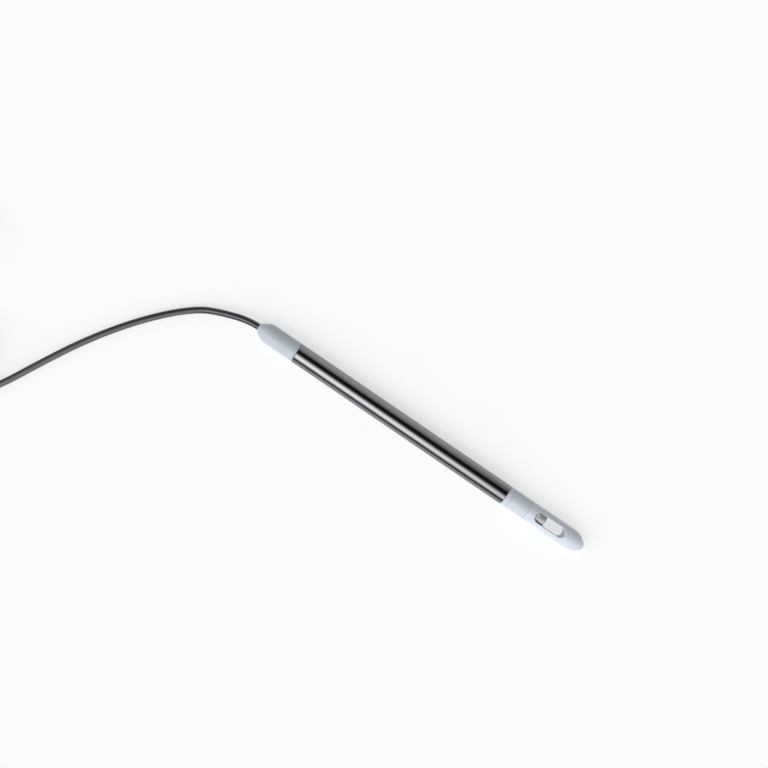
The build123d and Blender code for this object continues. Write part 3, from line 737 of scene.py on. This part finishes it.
def make_light():
    """Studio light all round: a soft panel beside the shaft, two large ones at its ends, dark above it.

    The direction's angle round the shaft picks the brightness of a band, which fades a little towards
    the guard. Where the direction leans towards either end of the shaft the end panels take over.
    """
    world = bpy.data.worlds.new("studio")
    world.use_nodes = True
    tree = world.node_tree
    tree.nodes.clear()
    along, across, up = add_node(tree, "ShaderNodeTexCoord", {}, {}, "Generated").parts()
    round_shaft = up.maths("ARCTAN2", across * -1, up) / (2 * pi) + 0.5
    stops = [(degrees_from_top / 360 + 0.5, level) for degrees_from_top, level in band_levels]
    bands = add_node(tree, "ShaderNodeValToRGB", {"stops": stops}, {0: round_shaft})
    towards_ends = along.size().ramp(*end_panel_reach)
    lean = (across * -1).ramp(*end_panel_lean)
    ends = end_panel_low + lean * (end_panel_high - end_panel_low)
    fading = 1 - along.ramp(*band_fade_reach) * band_fade
    strength = bands * fading * (1 - towards_ends) * band_strength + towards_ends * ends
    background = add_node(tree, "ShaderNodeBackground", {}, {"Color": light_colour, "Strength": strength})
    add_node(tree, "ShaderNodeOutputWorld", {}, {"Surface": background})
    bpy.context.scene.world = world


def make_materials():
    """Every finish by the record's material slot."""
    return {
        "shaft_steel": polished_steel(),
        "white_moulding": satin_moulding("white_moulding", (0.52, 0.56, 0.60), (0.55, 0.59, 0.63)),
        "seal_rubber": dull("seal_rubber", (0.030, 0.030, 0.030), 0.45),
        "crimp_metal": plated("crimp_metal", (0.60, 0.60, 0.60), 0.28),
        "cord_jacket": cord_jacket(),
        "head_metal": turned_metal(),
        "pin_metal": plated("pin_metal", (0.95, 0.95, 0.96), 0.44),
        "clear_glass": clear("clear_glass", (0.90, 0.93, 0.95), 0.02),
        "foil_black": dull("foil_black", (0.050, 0.050, 0.060), 0.70),
        "optics_black": dull("optics_black", (0.030, 0.030, 0.030), 0.75),
        "lamp_blue": clear("lamp_blue", (0.20, 0.45, 0.80), 0.05),
        "lamp_red": clear("lamp_red", (0.80, 0.15, 0.12), 0.05),
        "detector_metal": plated("detector_metal", (0.75, 0.75, 0.75), 0.15),
        "filter_red": clear("filter_red", (0.60, 0.08, 0.06), 0.02),
        "board_green": circuit_green(),
        "cradle_grey": dull("cradle_grey", (0.35, 0.36, 0.38), 0.45),
        "chip_black": dull("chip_black", (0.040, 0.040, 0.045), 0.50),
        "capacitor_ochre": dull("capacitor_ochre", (0.75, 0.50, 0.15), 0.40),
        "spring_bronze": plated("spring_bronze", (0.60, 0.42, 0.22), 0.25),
        "wire_insulation": dull("wire_insulation", (0.50, 0.50, 0.50), 0.40),
        "strap_fabric": woven_strap(),
        "plug_rubber": dull("plug_rubber", (0.030, 0.030, 0.033), 0.42, 3200.0, 0.00002),
        "plug_plastic": dull("plug_plastic", (0.030, 0.030, 0.034), 0.48, 2400.0, 0.00004),
        "nut_nickel": plated("nut_nickel", (0.66, 0.65, 0.62), 0.24),
        "insert_black": dull("insert_black", (0.040, 0.040, 0.040), 0.40),
        "contact_gold": plated("contact_gold", (0.83, 0.62, 0.28), 0.16),
    }


def main():
    """Dresses the frame, adds the pieces that it lacks, and sets the stage."""
    materials = make_materials()
    for part in frame["record"]["subparts"]:
        dress(part["node"], materials[part["material_slot"]])
    # The boot is moulded in a slightly darker white than the collar
    dress("cable_boot", satin_moulding("boot_moulding", (0.45, 0.485, 0.525), (0.48, 0.515, 0.555)))
    # The guard gets a lighter copy of the collar's white: painted light standing in for the brighter, flatter
    # light on the guard
    dress("guard", satin_moulding("guard_moulding_painted_lighter", (0.56, 0.60, 0.645), (0.59, 0.63, 0.675)))
    make_camera()
    make_light()
    make_floor(floor_sheet())
    cord = make_cord(materials["cord_jacket"])
    strap = make_strap(materials["strap_fabric"])
    nut = make_nut(materials["nut_nickel"])
    make_thread("collar_thread", *collar_thread, "white_moulding", materials["white_moulding"])
    make_thread("head_thread", *head_thread, "head_metal", materials["head_metal"])
    bpy.context.scene.view_settings.view_transform = "Standard"


main()
